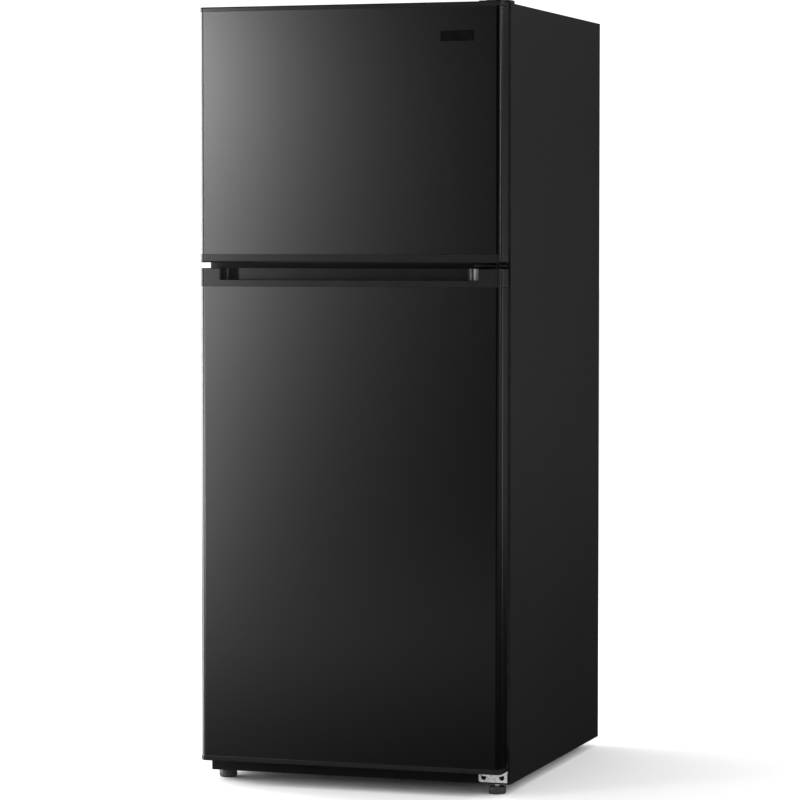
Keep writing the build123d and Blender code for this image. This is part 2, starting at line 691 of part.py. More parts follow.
def bin_block(inset, z, mode=Mode.ADD):
    """The outside or the inside of a bin, its two corners towards the room rounded."""
    with BuildSketch(Plane.XY.offset(z[0])) as plan:
        with Locations((0, (BIN_FRONT + BIN_BACK) / 2)):
            Rectangle(2 * (BIN_HALF - inset), BIN_BACK - BIN_FRONT - 2 * inset)
        fillet(vertices().group_by(Axis.Y)[-1], BIN_RADIUS - inset)
    extrude(plan.sketch, amount=z[1] - z[0], mode=mode)


def door_bin(low, high):
    """A clear bin between the ribs, with slots in its ends that drop over the lugs."""
    bin_block(0, (low, high))
    bin_block(-1.5, (high - 5, high))
    bin_block(BIN_WALL, (low + BIN_WALL, high + 1), Mode.SUBTRACT)
    for side in (-1, 1):
        slot = sorted((side * (BIN_HALF - BIN_WALL - 1), side * (BIN_HALF + 3)))
        block(slot, (-285.5, -264.5), (low + BIN_WALL + 2, high - 13.5), Mode.SUBTRACT)


def gasket_ring(z):
    """The magnetic seal: a hollow square section around the door, with a bellows groove outside."""
    outer, inner = GASKET[1], GASKET[0]
    block((-outer, outer), (DOOR_BACK, GASKET_BACK), z)
    block((-outer + 5, outer - 5), (DOOR_BACK + 5, DOOR_BACK + 9), (z[0] - 1, z[0] + 5), Mode.SUBTRACT)
    block((-outer + 5, outer - 5), (DOOR_BACK + 5, DOOR_BACK + 9), (z[1] - 5, z[1] + 1), Mode.SUBTRACT)
    inside = (z[0] + GASKET_WIDTH, z[1] - GASKET_WIDTH)
    block((-inner, inner), (DOOR_BACK - 1, GASKET_BACK + 1), inside, Mode.SUBTRACT)


def bushings(z):
    """The two nylon bushings of a door, one at each end."""
    for low in (z[0], z[1] - BUSHING_LENGTH):
        post(AXIS_X, AXIS_Y, (low, low + BUSHING_LENGTH), BUSHING_RADIUS)
        post(AXIS_X, AXIS_Y, (low - 1, low + BUSHING_LENGTH + 1), BUSHING_BORE, Mode.SUBTRACT)


def bushing_room(z):
    """The room that the two bushings take out of a door's foam."""
    for low in (z[0], z[1] - BUSHING_LENGTH):
        post(AXIS_X, AXIS_Y, (low, low + BUSHING_LENGTH), BUSHING_RADIUS, Mode.SUBTRACT)


# ---- freezer door -------------------------------------------------------------------------------
FREEZER_SKIN = (FREEZER_DOOR[0] + FREEZER_CAPS[0], FREEZER_DOOR[1] - FREEZER_CAPS[1])
FREEZER_DIKE = (1060.0, 1430.0)
FREEZER_BINS = ((1075.0, 1170.0), (1260.0, 1355.0))
FREEZER_GASKET = (1020.0, 1489.0)

with BuildPart() as freezer_door_skin:
    door_skin(FREEZER_SKIN)
freezer_door_skin.part.label = "freezer_door_skin"
export_step(freezer_door_skin.part, "parts/freezer_door_skin.step")

with BuildPart() as freezer_door_foam:
    door_core(FREEZER_SKIN, FREEZER_DIKE)
    bushing_room(FREEZER_DOOR)
freezer_door_foam.part.label = "freezer_door_foam"
export_step(freezer_door_foam.part, "parts/freezer_door_foam.step")

with BuildPart() as freezer_door_liner:
    door_inner(FREEZER_SKIN, FREEZER_DIKE, FREEZER_BINS)
freezer_door_liner.part.label = "freezer_door_liner"
export_step(freezer_door_liner.part, "parts/freezer_door_liner.step")

with BuildPart() as freezer_door_bottom_cap:
    door_cap((FREEZER_DOOR[0], FREEZER_SKIN[0]), 0, 3.5)
freezer_door_bottom_cap.part.label = "freezer_door_bottom_cap"
export_step(freezer_door_bottom_cap.part, "parts/freezer_door_bottom_cap.step")

with BuildPart() as freezer_door_top_cap:
    door_cap((FREEZER_SKIN[1], FREEZER_DOOR[1]), -1, 2.5)
freezer_door_top_cap.part.label = "freezer_door_top_cap"
export_step(freezer_door_top_cap.part, "parts/freezer_door_top_cap.step")

with BuildPart() as freezer_door_gasket:
    gasket_ring(FREEZER_GASKET)
freezer_door_gasket.part.label = "freezer_door_gasket"
export_step(freezer_door_gasket.part, "parts/freezer_door_gasket.step")

with BuildPart() as freezer_door_bushings:
    bushings(FREEZER_DOOR)
freezer_door_bushings.part.label = "freezer_door_bushings"
export_step(freezer_door_bushings.part, "parts/freezer_door_bushings.step")

with BuildPart() as freezer_door_bins:
    for low, high in FREEZER_BINS:
        door_bin(low, high)
freezer_door_bins.part.label = "freezer_door_bins"
export_step(freezer_door_bins.part, "parts/freezer_door_bins.step")

# A plain plate near the upper corner of the door, on the hinge side.
with BuildPart() as badge:
    block((184, 248.5), (DOOR_FRONT, SKIN_FRONT), (1431, 1451))
    fillet(edges().filter_by(Axis.Y), 1.5)
badge.part.label = "badge"
export_step(badge.part, "parts/badge.step")

# ---- fridge door --------------------------------------------------------------------------------
FRIDGE_SKIN = (FRIDGE_DOOR[0] + FRIDGE_CAPS[0], FRIDGE_DOOR[1] - FRIDGE_CAPS[1])
FRIDGE_DIKE = (110.0, 925.0)
FRIDGE_BINS = ((122.0, 262.0), (430.0, 540.0), (700.0, 800.0))
FRIDGE_GASKET = (66.0, 981.0)

with BuildPart() as fridge_door_skin:
    door_skin(FRIDGE_SKIN)
fridge_door_skin.part.label = "fridge_door_skin"
export_step(fridge_door_skin.part, "parts/fridge_door_skin.step")

with BuildPart() as fridge_door_foam:
    door_core(FRIDGE_SKIN, FRIDGE_DIKE)
    bushing_room(FRIDGE_DOOR)
fridge_door_foam.part.label = "fridge_door_foam"
export_step(fridge_door_foam.part, "parts/fridge_door_foam.step")

with BuildPart() as fridge_door_liner:
    door_inner(FRIDGE_SKIN, FRIDGE_DIKE, FRIDGE_BINS)
fridge_door_liner.part.label = "fridge_door_liner"
export_step(fridge_door_liner.part, "parts/fridge_door_liner.step")

with BuildPart() as fridge_door_bottom_cap:
    door_cap((FRIDGE_DOOR[0], FRIDGE_SKIN[0]), 0, 2.5)
fridge_door_bottom_cap.part.label = "fridge_door_bottom_cap"
export_step(fridge_door_bottom_cap.part, "parts/fridge_door_bottom_cap.step")

# The top cap is also the handle: a full-width finger recess behind a lip, with coved ends and a
# groove for the fingertips.
RECESS_FLOOR = FRIDGE_SKIN[1] + LIP_HEIGHT
RECESS_BACK = DOOR_FRONT + RECESS_DEPTH
RECESS_PLAN = (
    (RECESS[0] - RECESS_CHAMFER, DOOR_FRONT - 1),
    (RECESS[0] - RECESS_CHAMFER, DOOR_FRONT),
    (RECESS[0], DOOR_FRONT + RECESS_CHAMFER),
    (RECESS[0], RECESS_BACK),
    (RECESS[1], RECESS_BACK),
    (RECESS[1], DOOR_FRONT + RECESS_CHAMFER),
    (RECESS[1] + RECESS_CHAMFER, DOOR_FRONT),
    (RECESS[1] + RECESS_CHAMFER, DOOR_FRONT - 1),
)
GROOVE_DEPTH = 7.0
LIP_THICKNESS = 7.0
LIP_ROUND = 2.0

with BuildPart() as fridge_door_top_cap:
    door_cap((FRIDGE_SKIN[1], FRIDGE_DOOR[1]), -1, 2.0)
    with BuildSketch(Plane.XY.offset(RECESS_FLOOR)):
        Polygon(*RECESS_PLAN, align=None)
        fillet(vertices().group_by(Axis.Y)[-1], RECESS_DEPTH - RECESS_CHAMFER - 0.1)
    extrude(amount=FRIDGE_DOOR[1] - RECESS_FLOOR + 1, mode=Mode.SUBTRACT)
    block(
        (RECESS[0] + RECESS_DEPTH, RECESS[1] - RECESS_DEPTH),
        (DOOR_FRONT + LIP_THICKNESS, RECESS_BACK),
        (RECESS_FLOOR - GROOVE_DEPTH, RECESS_FLOOR + 1),
        Mode.SUBTRACT,
    )
    with BuildSketch(Plane.YZ.offset(RECESS[0])):
        with Locations((DOOR_FRONT, RECESS_FLOOR)):
            Rectangle(2 * LIP_ROUND, 2 * LIP_ROUND)
        with Locations((DOOR_FRONT + LIP_ROUND, RECESS_FLOOR - LIP_ROUND)):
            Circle(LIP_ROUND, mode=Mode.SUBTRACT)
    extrude(amount=RECESS[1] - RECESS[0], mode=Mode.SUBTRACT)
fridge_door_top_cap.part.label = "fridge_door_top_cap"
export_step(fridge_door_top_cap.part, "parts/fridge_door_top_cap.step")

with BuildPart() as fridge_door_gasket:
    gasket_ring(FRIDGE_GASKET)
fridge_door_gasket.part.label = "fridge_door_gasket"
export_step(fridge_door_gasket.part, "parts/fridge_door_gasket.step")

with BuildPart() as fridge_door_bushings:
    bushings(FRIDGE_DOOR)
fridge_door_bushings.part.label = "fridge_door_bushings"
export_step(fridge_door_bushings.part, "parts/fridge_door_bushings.step")

with BuildPart() as fridge_door_bins:
    for low, high in FRIDGE_BINS:
        door_bin(low, high)
fridge_door_bins.part.label = "fridge_door_bins"
export_step(fridge_door_bins.part, "parts/fridge_door_bins.step")


# =================================================================================================
# Hinges, their screws and the feet
# =================================================================================================
PIN_LENGTH = 20.0
FLANGE_Y = (CABINET_FRONT - HINGE_PLATE, CABINET_FRONT)
HINGE_PLATE_X = (266.0, 300.0)
SCREW_HEAD = 5.0
SCREW_SHANK = 2.5


def hinge_plate(x, y, z):
    """A flat hinge plate around the pin, its front corners rounded."""
    with BuildSketch(Plane.XY.offset(z[0])) as plan:
        with Locations(((x[0] + x[1]) / 2, (y[0] + y[1]) / 2)):
            Rectangle(x[1] - x[0], y[1] - y[0])
        fillet(vertices().group_by(Axis.Y)[0], 8)
    extrude(plan.sketch, amount=z[1] - z[0])


# Top hinge: a joggled plate, screwed to the top of the cabinet, with its pin pointing down.
TOP_PLATE = (CABINET_TOP + 1.3, CABINET_TOP + 3.8)
TOP_HINGE_BACK = -268.0
TOP_SCREWS = ((283.0, -289.0), (283.0, -276.0))

with BuildPart() as top_hinge:
    hinge_plate(HINGE_PLATE_X, (-346, TOP_HINGE_BACK), TOP_PLATE)
    block(HINGE_PLATE_X, (-297, TOP_HINGE_BACK), (CABINET_TOP, TOP_PLATE[0]))
    post(AXIS_X, AXIS_Y, (CABINET_TOP - PIN_LENGTH, TOP_PLATE[1]), PIN_RADIUS)
    for spot in TOP_SCREWS:
        post(*spot, (CABINET_TOP - 1, CABINET_TOP + 5), 2.5, Mode.SUBTRACT)
top_hinge.part.label = "top_hinge"
export_step(top_hinge.part, "parts/top_hinge.step")

# The plastic cover clips over the screwed end of the top hinge, and is open towards the door.
COVER_X = (240.0, 303.0)
COVER_Y = (-304.0, -266.0)
COVER_WALL = 1.5

with BuildPart() as top_hinge_cover:
    with BuildSketch(Plane.XY.offset(CABINET_TOP)):
        with Locations(((COVER_X[0] + COVER_X[1]) / 2, (COVER_Y[0] + COVER_Y[1]) / 2)):
            RectangleRounded(COVER_X[1] - COVER_X[0], COVER_Y[1] - COVER_Y[0], 6)
    extrude(amount=COVER_HEIGHT)
    fillet(faces().sort_by(Axis.Z)[-1].edges(), 0.9)
    block(
        (HINGE_PLATE_X[0] - COVER_WALL, COVER_X[1] - COVER_WALL),
        (COVER_Y[0] - 1, COVER_Y[1] - COVER_WALL),
        (CABINET_TOP - 1, CABINET_TOP + COVER_HEIGHT - 1),
        Mode.SUBTRACT,
    )
top_hinge_cover.part.label = "top_hinge_cover"
export_step(top_hinge_cover.part, "parts/top_hinge_cover.step")

# Middle hinge: a plate in the gap between the doors, with a pin up and a pin down.
MIDDLE_PLATE = (1007.0, 1010.0)
MIDDLE_SCREWS = ((252.0, 1000.0), (288.0, 1000.0))

with BuildPart() as middle_hinge:
    hinge_plate((244, 300), (HINGE_FRONT, CABINET_FRONT), MIDDLE_PLATE)
    block((244, 300), FLANGE_Y, (988, MIDDLE_PLATE[1]))
    post(AXIS_X, AXIS_Y, (MIDDLE_PLATE[1] - PIN_LENGTH - 3, MIDDLE_PLATE[1] + PIN_LENGTH), PIN_RADIUS)
    for x, z in MIDDLE_SCREWS:
        bolt(x, (CABINET_FRONT - 5, CABINET_FRONT + 1), z, 2.5, Mode.SUBTRACT)
middle_hinge.part.label = "middle_hinge"
export_step(middle_hinge.part, "parts/middle_hinge.step")

# Bottom hinge: a flange on the crossmember, a tab under the door and a pin up.
BOTTOM_PLATE = (41.0, 44.0)
BOTTOM_SCREWS = ((253.0, 31.0), (289.0, 31.5))

with BuildPart() as bottom_hinge:
    hinge_plate(HINGE_TAB, (HINGE_FRONT, CABINET_FRONT), BOTTOM_PLATE)
    block((243, 299), FLANGE_Y, (22, 57))
    fillet(edges().filter_by(Axis.Y).group_by(Axis.X)[0], 4)
    post(AXIS_X, AXIS_Y, (BOTTOM_PLATE[0], BOTTOM_PLATE[1] + PIN_LENGTH), PIN_RADIUS)
    for x, z in BOTTOM_SCREWS:
        bolt(x, (CABINET_FRONT - 5, CABINET_FRONT + 1), z, 2.5, Mode.SUBTRACT)
bottom_hinge.part.label = "bottom_hinge"
export_step(bottom_hinge.part, "parts/bottom_hinge.step")

# Two screws for each hinge, each a pan head on the plate and a shank through it.
with BuildPart() as hinge_screws:
    for x, z in (*MIDDLE_SCREWS, *BOTTOM_SCREWS):
        bolt(x, (FLANGE_Y[0] - 2, FLANGE_Y[0]), z, SCREW_HEAD)
        bolt(x, (FLANGE_Y[0], CABINET_FRONT), z, SCREW_SHANK)
    for x, y in TOP_SCREWS:
        post(x, y, (TOP_PLATE[1], TOP_PLATE[1] + 1.2), SCREW_HEAD)
        post(x, y, (CABINET_TOP, TOP_PLATE[1]), SCREW_SHANK)
hinge_screws.part.label = "hinge_screws"
export_step(hinge_screws.part, "parts/hinge_screws.step")


def stud(spot, low):
    """The threaded stud of a foot, from inside the foot to above the threaded boss."""
    post(*spot, (low, 50), STUD_RADIUS)


# The right foot has a ribbed grip; the left one is plain and a little larger.
with BuildPart() as right_foot:
    with BuildSketch():
        with Locations(RIGHT_FOOT):
            Circle(GRIP_RADIUS)
            with PolarLocations(GRIP_RADIUS, 18):
                Circle(1.3, mode=Mode.SUBTRACT)
    extrude(amount=GRIP_TOP)
    post(*RIGHT_FOOT, (GRIP_TOP, FOOT_TOP), 9)
    stud(RIGHT_FOOT, FOOT_TOP)
right_foot.part.label = "right_foot"
export_step(right_foot.part, "parts/right_foot.step")

with BuildPart() as left_foot:
    post(*LEFT_FOOT, (0, FOOT_TOP), GRIP_RADIUS + 1)
    chamfer(edges().filter_by(GeomType.CIRCLE).sort_by(Axis.Z)[0], 2)
    fillet(faces().sort_by(Axis.Z)[-1].edges(), 2)
    stud(LEFT_FOOT, FOOT_TOP)
left_foot.part.label = "left_foot"
export_step(left_foot.part, "parts/left_foot.step")
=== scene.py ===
import json
from math import cos, pi, radians, sin

import bmesh
import bpy
from mathutils import Matrix, Vector


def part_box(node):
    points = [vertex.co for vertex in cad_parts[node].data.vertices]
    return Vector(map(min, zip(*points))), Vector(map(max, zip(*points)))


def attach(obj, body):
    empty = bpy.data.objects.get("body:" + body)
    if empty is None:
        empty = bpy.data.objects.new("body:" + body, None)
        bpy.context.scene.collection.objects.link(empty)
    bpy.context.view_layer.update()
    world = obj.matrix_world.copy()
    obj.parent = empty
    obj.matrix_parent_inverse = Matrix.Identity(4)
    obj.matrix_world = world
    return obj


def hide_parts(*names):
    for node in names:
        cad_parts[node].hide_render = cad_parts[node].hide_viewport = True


# A top freezer refrigerator in a plain studio. Units are metres, in the frame's own axes: +Z is up
# and the doors face -Y.
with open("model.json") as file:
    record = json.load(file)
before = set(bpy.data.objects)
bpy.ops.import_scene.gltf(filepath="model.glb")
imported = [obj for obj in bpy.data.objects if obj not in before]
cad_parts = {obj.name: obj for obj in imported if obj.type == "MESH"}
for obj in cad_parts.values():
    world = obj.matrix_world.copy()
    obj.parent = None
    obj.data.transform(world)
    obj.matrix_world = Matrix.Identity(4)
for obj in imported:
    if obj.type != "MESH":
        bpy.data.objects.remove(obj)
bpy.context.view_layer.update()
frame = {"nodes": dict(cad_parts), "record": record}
nodes = frame["nodes"]


# ---- material helpers -------------------------------------------------------------------------
def start_material(name, color, roughness, metallic=0.0, specular=0.5):
    """A new material and its main shader, with the uniform values set on the shader."""
    material = bpy.data.materials.new(name)
    material.use_nodes = True
    shader = material.node_tree.nodes["Principled BSDF"]
    shader.inputs["Base Color"].default_value = (*color, 1)
    shader.inputs["Roughness"].default_value = roughness
    shader.inputs["Metallic"].default_value = metallic
    shader.inputs["Specular IOR Level"].default_value = specular
    return material, shader


def place_texture(tree, texture, stretch):
    """Feeds a texture with the object's own coordinates, in metres."""
    coordinates = tree.nodes.new("ShaderNodeTexCoord")
    mapping = tree.nodes.new("ShaderNodeMapping")
    mapping.inputs["Scale"].default_value = stretch
    tree.links.new(coordinates.outputs["Object"], mapping.inputs["Vector"])
    tree.links.new(mapping.outputs["Vector"], texture.inputs["Vector"])


def add_noise(tree, scale, detail=2.0, stretch=(1, 1, 1)):
    """Noise with about one feature in every 1/scale metres."""
    texture = tree.nodes.new("ShaderNodeTexNoise")
    texture.inputs["Scale"].default_value = scale
    texture.inputs["Detail"].default_value = detail
    place_texture(tree, texture, stretch)
    return texture.outputs["Fac"]


def add_cells(tree, scale, output="Distance"):
    """A cell pattern, by distance from each cell's middle or with one colour for each cell."""
    texture = tree.nodes.new("ShaderNodeTexVoronoi")
    texture.inputs["Scale"].default_value = scale
    place_texture(tree, texture, (1, 1, 1))
    return texture.outputs[output]


def vary_color(tree, shader, pattern, dark, light, start=0.3, end=0.7):
    """A pattern from one colour to another, with its ramp between start and end."""
    ramp = tree.nodes.new("ShaderNodeValToRGB")
    ramp.color_ramp.elements[0].color = (*dark, 1)
    ramp.color_ramp.elements[0].position = start
    ramp.color_ramp.elements[1].color = (*light, 1)
    ramp.color_ramp.elements[1].position = end
    tree.links.new(pattern, ramp.inputs["Fac"])
    tree.links.new(ramp.outputs["Color"], shader.inputs["Base Color"])


def vary_roughness(tree, shader, pattern, smooth, rough):
    """A pattern from one roughness to another."""
    spread = tree.nodes.new("ShaderNodeMapRange")
    spread.inputs["From Min"].default_value = 0.25
    spread.inputs["From Max"].default_value = 0.75
    spread.inputs["To Min"].default_value = smooth
    spread.inputs["To Max"].default_value = rough
    tree.links.new(pattern, spread.inputs["Value"])
    tree.links.new(spread.outputs["Result"], shader.inputs["Roughness"])


def add_bump(tree, shader, pattern, height):
    """Relief with the given height in metres."""
    bump = tree.nodes.new("ShaderNodeBump")
    bump.inputs["Distance"].default_value = height
    bump.inputs["Strength"].default_value = 1.0
    tree.links.new(pattern, bump.inputs["Height"])
    tree.links.new(bump.outputs["Normal"], shader.inputs["Normal"])


def grey(value):
    return value, value, value


# ---- materials, one for each slot of the record -----------------------------------------------
def cabinet_steel():
    """Near-black paint with a fine pebbled surface."""
    material, shader = start_material("cabinet_steel", grey(0.007), 0.5, specular=0.45)
    tree = material.node_tree
    vary_color(tree, shader, add_noise(tree, 3, 4), (0.0062, 0.0062, 0.0065), (0.0078, 0.0078, 0.0082))
    vary_roughness(tree, shader, add_noise(tree, 120, 3), 0.48, 0.54)
    add_bump(tree, shader, add_noise(tree, 900, 3), 0.0001)
    return material


def door_steel():
    """Satin dark grey lacquer with a fine metallic grain."""
    material, shader = start_material("door_steel", grey(0.1), 0.3, metallic=1.0)
    tree = material.node_tree
    vary_color(tree, shader, add_noise(tree, 2500, 2), grey(0.094), grey(0.106))
    vary_roughness(tree, shader, add_noise(tree, 60, 4), 0.295, 0.305)
    add_bump(tree, shader, add_noise(tree, 420, 2), 0.000006)
    return material


def base_steel():
    """Flat black paint, a little dusty."""
    material, shader = start_material("base_steel", grey(0.004), 0.6, specular=0.25)
    tree = material.node_tree
    vary_color(tree, shader, add_noise(tree, 25, 5), grey(0.0035), grey(0.006))
    add_bump(tree, shader, add_noise(tree, 600, 2), 0.00005)
    return material


def zinc_steel():
    """Hot-dip zinc with its crystal pattern."""
    material, shader = start_material("zinc_steel", grey(0.5), 0.4, metallic=0.6)
    tree = material.node_tree
    crystals = add_cells(tree, 90, "Color")
    vary_color(tree, shader, crystals, (0.46, 0.47, 0.48), (0.56, 0.57, 0.58), 0.1, 0.9)
    vary_roughness(tree, shader, add_cells(tree, 130, "Color"), 0.32, 0.48)
    return material


def hinge_steel():
    """Bright zinc plate with fine rolling marks."""
    material, shader = start_material("hinge_steel", grey(0.8), 0.28, metallic=0.35)
    tree = material.node_tree
    marks = add_noise(tree, 90, 2, (1, 9, 9))
    vary_color(tree, shader, marks, (0.77, 0.77, 0.76), (0.83, 0.83, 0.82))
    vary_roughness(tree, shader, add_noise(tree, 120, 4), 0.22, 0.38)
    add_bump(tree, shader, marks, 0.00003)
    return material


def moulded(name, color, roughness, specular, grain_height):
    """A moulded plastic with a fine spark-eroded grain and slight flow marks."""
    material, shader = start_material(name, color, roughness, specular=specular)
    tree = material.node_tree
    vary_color(tree, shader, add_noise(tree, 18, 4), [0.93 * c for c in color], [1.07 * c for c in color])
    vary_roughness(tree, shader, add_noise(tree, 60, 3), roughness - 0.02, roughness + 0.02)
    add_bump(tree, shader, add_noise(tree, 1400, 3), grain_height)
    return material


def cap_plastic():
    return moulded("cap_plastic", (0.011, 0.011, 0.0113), 0.24, 0.5, 0.00001)


def black_plastic():
    return moulded("black_plastic", (0.006, 0.006, 0.0063), 0.4, 0.4, 0.00005)


def foot_plastic():
    return moulded("foot_plastic", (0.045, 0.045, 0.047), 0.42, 0.5, 0.00006)


def nylon():
    return moulded("nylon", (0.72, 0.7, 0.64), 0.45, 0.5, 0.00003)


def badge_plastic():
    """Gloss black with a clear coat."""
    material, shader = start_material("badge_plastic", grey(0.004), 0.12, specular=0.5)
    shader.inputs["Coat Weight"].default_value = 0.6
    shader.inputs["Coat Roughness"].default_value = 0.05
    tree = material.node_tree
    vary_roughness(tree, shader, add_noise(tree, 90, 3), 0.09, 0.16)
    vary_color(tree, shader, add_noise(tree, 30, 3), grey(0.0035), grey(0.005))
    return material


def foam():
    """Rigid foam: pale yellow, with cut cells."""
    material, shader = start_material("foam", (0.8, 0.68, 0.38), 0.9, specular=0.2)
    tree = material.node_tree
    vary_color(tree, shader, add_noise(tree, 40, 4), (0.72, 0.58, 0.3), (0.85, 0.74, 0.46))
    add_bump(tree, shader, add_cells(tree, 900), 0.0004)
    return material


def white_plastic():
    """Glossy white moulding with a slight ripple from vacuum forming."""
    material, shader = start_material("white_plastic", (0.84, 0.85, 0.85), 0.25)
    tree = material.node_tree
    shader.inputs["Subsurface Weight"].default_value = 0.05
    shader.inputs["Subsurface Scale"].default_value = 0.002
    vary_color(tree, shader, add_noise(tree, 4, 2), (0.83, 0.84, 0.845), (0.85, 0.86, 0.86))
    vary_roughness(tree, shader, add_noise(tree, 25, 3), 0.3, 0.34)
    add_bump(tree, shader, add_noise(tree, 30, 2), 0.000008)
    return material


def clear(name, color, roughness, index):
    """A clear moulding or pane, with faint ripples that bend what is seen through it."""
    material, shader = start_material(name, color, roughness)
    shader.inputs["Transmission Weight"].default_value = 0.94
    shader.inputs["IOR"].default_value = index
    tree = material.node_tree
    vary_roughness(tree, shader, add_noise(tree, 30, 3), roughness, roughness + 0.05)
    add_bump(tree, shader, add_noise(tree, 35, 2), 0.00005)
    return material


def clear_plastic():
    return clear("clear_plastic", (0.93, 0.96, 0.97), 0.05, 1.49)


def shelf_glass():
    return clear("shelf_glass", (0.86, 0.95, 0.92), 0.01, 1.5)


def lamp_glass():
    return clear("lamp_glass", (0.97, 0.97, 0.95), 0.02, 1.5)


def lamp_plastic():
    return clear("lamp_plastic", (0.95, 0.95, 0.93), 0.45, 1.49)


def rubber(name, value, roughness):
    """Soft rubber with a bloom that varies its sheen."""
    material, shader = start_material(name, grey(value), roughness, specular=0.35)
    tree = material.node_tree
    vary_color(tree, shader, add_noise(tree, 60, 5), grey(0.85 * value), grey(1.2 * value))
    vary_roughness(tree, shader, add_noise(tree, 110, 3), roughness - 0.08, roughness + 0.08)
    add_bump(tree, shader, add_noise(tree, 900, 2), 0.00003)
    return material


def seal_rubber():
    return rubber("seal_rubber", 0.006, 0.6)


def black_rubber():
    return rubber("black_rubber", 0.01, 0.75)


def wire():
    """Steel wire under a white dipped coat."""
    material, shader = start_material("wire", (0.82, 0.82, 0.81), 0.35)
    tree = material.node_tree
    vary_color(tree, shader, add_noise(tree, 50, 3), (0.78, 0.78, 0.76), (0.86, 0.86, 0.85))
    add_bump(tree, shader, add_noise(tree, 300, 2), 0.00008)
    return material


def copper():
    """Copper tube with darker stains from brazing."""
    material, shader = start_material("copper", (0.72, 0.38, 0.24), 0.3, metallic=1.0)
    tree = material.node_tree
    vary_color(tree, shader, add_noise(tree, 35, 5), (0.42, 0.2, 0.12), (0.78, 0.44, 0.3), 0.25, 0.6)
    vary_roughness(tree, shader, add_noise(tree, 70, 4), 0.22, 0.45)
    return material


def fin_aluminium():
    """Bare fins with fine drawing lines."""
    material, shader = start_material("fin_aluminium", (0.75, 0.76, 0.78), 0.3, metallic=1.0)
    tree = material.node_tree
    lines = add_noise(tree, 500, 2, (1, 1, 12))
    vary_roughness(tree, shader, lines, 0.24, 0.42)
    vary_color(tree, shader, add_noise(tree, 30, 3), (0.7, 0.71, 0.73), (0.8, 0.81, 0.83))
    add_bump(tree, shader, lines, 0.00002)
    return material


def machine_paint():
    """Black enamel with the ripple of a dipped coat."""
    material, shader = start_material("machine_paint", grey(0.006), 0.22, specular=0.5)
    tree = material.node_tree
    vary_color(tree, shader, add_noise(tree, 12, 5), grey(0.005), grey(0.011))
    vary_roughness(tree, shader, add_noise(tree, 20, 4), 0.18, 0.34)
    add_bump(tree, shader, add_noise(tree, 130, 2), 0.00015)
    return material


FINISHES = (
    cabinet_steel, door_steel, base_steel, zinc_steel, hinge_steel, cap_plastic, black_plastic,
    foot_plastic, nylon, badge_plastic, foam, white_plastic, clear_plastic, shelf_glass, lamp_glass,
    lamp_plastic, seal_rubber, black_rubber, wire, copper, fin_aluminium, machine_paint,
)
materials = {finish.__name__: finish() for finish in FINISHES}

for part in frame["record"]["subparts"]:
    mesh = nodes[part["node"]].data
    mesh.materials.clear()
    mesh.materials.append(materials[part["material_slot"]])


# ---- detail pieces ----------------------------------------------------------------------------
CREASE = radians(35)


def add_piece(name, shape, body, slot):
    """A finished bmesh as an object that rides on a body and takes a slot's material."""
    bmesh.ops.recalc_face_normals(shape, faces=shape.faces)
    mesh = bpy.data.meshes.new(name)
    shape.to_mesh(mesh)
    shape.free()
    mesh.shade_smooth()
    mesh.set_sharp_from_angle(angle=CREASE)
    mesh.materials.append(materials[slot])
    piece = bpy.data.objects.new(name, mesh)
    bpy.context.scene.collection.objects.link(piece)
    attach(piece, body)
    return piece


def add_turned(shape, middle, profile, segments, radius_at):
    """A closed turned form: a ring for each (radius, height), and a cap at both ends."""
    rings = []
    for radius, height in profile:
        ring = []
        for step in range(segments):
            turn = 2 * pi * step / segments
            reach = radius_at(radius, height, turn)
            x = middle[0] + reach * cos(turn)
            y = middle[1] + reach * sin(turn)
            ring.append(shape.verts.new((x, y, height)))
        rings.append(ring)
    for lower, upper in zip(rings, rings[1:]):
        for step in range(segments):
            after = (step + 1) % segments
            shape.faces.new((lower[step], lower[after], upper[after], upper[step]))
    shape.faces.new(rings[0])
    shape.faces.new(rings[-1])


def middle_of(node):
    """The middle of a node's box, seen from above."""
    low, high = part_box(node)
    return (low[0] + high[0]) / 2, (low[1] + high[1]) / 2


# ---- door seals: a magnet sleeve on a bellows, mitred at the corners
BELLOWS = (
    (0.0, 0.0), (0.0, 0.0014), (0.0048, 0.004), (0.0014, 0.0072), (0.0048, 0.0104), (0.0022, 0.0122),
    (0.0022, 0.0168), (0.003, 0.0176), (0.016, 0.0176), (0.0168, 0.0168), (0.0168, 0.0122),
    (0.0142, 0.0104), (0.0176, 0.0072), (0.0142, 0.004), (0.019, 0.0014), (0.019, 0.0),
)


def add_seal(node, body):
    """A seal whose section is given as (distance from the outer edge, distance from the door)."""
    low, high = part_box(node)
    shape = bmesh.new()
    corners = []
    for left, bottom in ((True, True), (False, True), (False, False), (True, False)):
        corner = []
        for inset, depth in BELLOWS:
            x = low[0] + inset if left else high[0] - inset
            z = low[2] + inset if bottom else high[2] - inset
            corner.append(shape.verts.new((x, low[1] + depth, z)))
        corners.append(corner)
    for here, there in zip(corners, corners[1:] + corners[:1]):
        for step in range(len(BELLOWS)):
            after = (step + 1) % len(BELLOWS)
            shape.faces.new((here[step], here[after], there[after], there[step]))
    seal = add_piece(f"{node}_bellows", shape, body, "seal_rubber")
    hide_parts(node)


# ---- hinge screws: pan heads with a cross recess
HEAD_RADIUS = 0.005
SHANK_RADIUS = 0.0025
SLOT_DEPTH = 0.0011
SLOT_HALF_WIDTH = 0.0007
SLOT_REACH = 0.0027
SLOT_END = 0.0032
SLOT_SLOPE = 0.0014
HEAD_RINGS = 15
HEAD_SEGMENTS = 48
HINGE_PLATE = 0.003
FRONT_HEAD = 0.002
TOP_HEAD = 0.0012
MIDDLE_SCREW_LEVEL = 1.0


